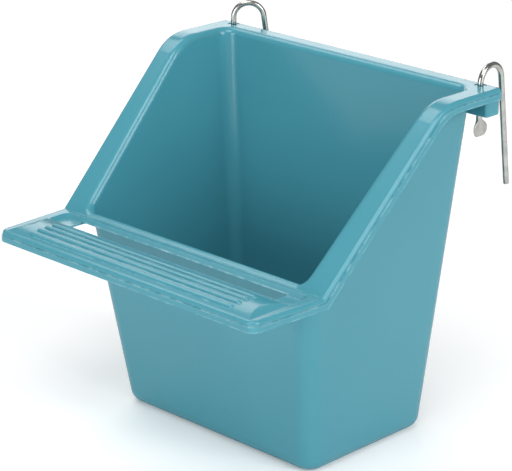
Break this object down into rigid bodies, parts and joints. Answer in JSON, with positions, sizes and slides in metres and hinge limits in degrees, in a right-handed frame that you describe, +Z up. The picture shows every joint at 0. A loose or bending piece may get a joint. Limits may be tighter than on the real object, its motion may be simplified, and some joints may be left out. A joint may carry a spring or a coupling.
{
  "type": "hanging feed and water trough",
  "caption": "Tapered one-piece hanging trough with a sloped rim, a ribbed perch across the front and bent wire hooks that turn in corner ears.",
  "frame": {"origin": "middle of the flat base face, on the floor", "axes": "+Z up along the tub, -Y towards the perch at the front, +Y towards the hooks at the back, +X towards the right hook seen from the front"},
  "size_m": [0.1116, 0.1106, 0.1152],
  "materials": {
    "teal_plastic": "glossy injection-moulded polypropylene",
    "plated_wire": "bright drawn and plated steel wire"
  },
  "bodies": {
    "trough": {"trough": "teal_plastic"},
    "hook_left": {"hook_left": "plated_wire"},
    "hook_right": {"hook_right": "plated_wire"}
  },
  "joints": [
    {"name": "hook_left_turn", "type": "hinge", "parent": "trough", "child": "hook_left", "pos_m": [-0.0494, 0.032, 0.1074], "axis": [0, 0, 1], "range_deg": [-12, 175]},
    {"name": "hook_right_turn", "type": "hinge", "parent": "trough", "child": "hook_right", "pos_m": [0.0494, 0.032, 0.1074], "axis": [0, 0, 1], "range_deg": [-130, 57]}
  ]
}
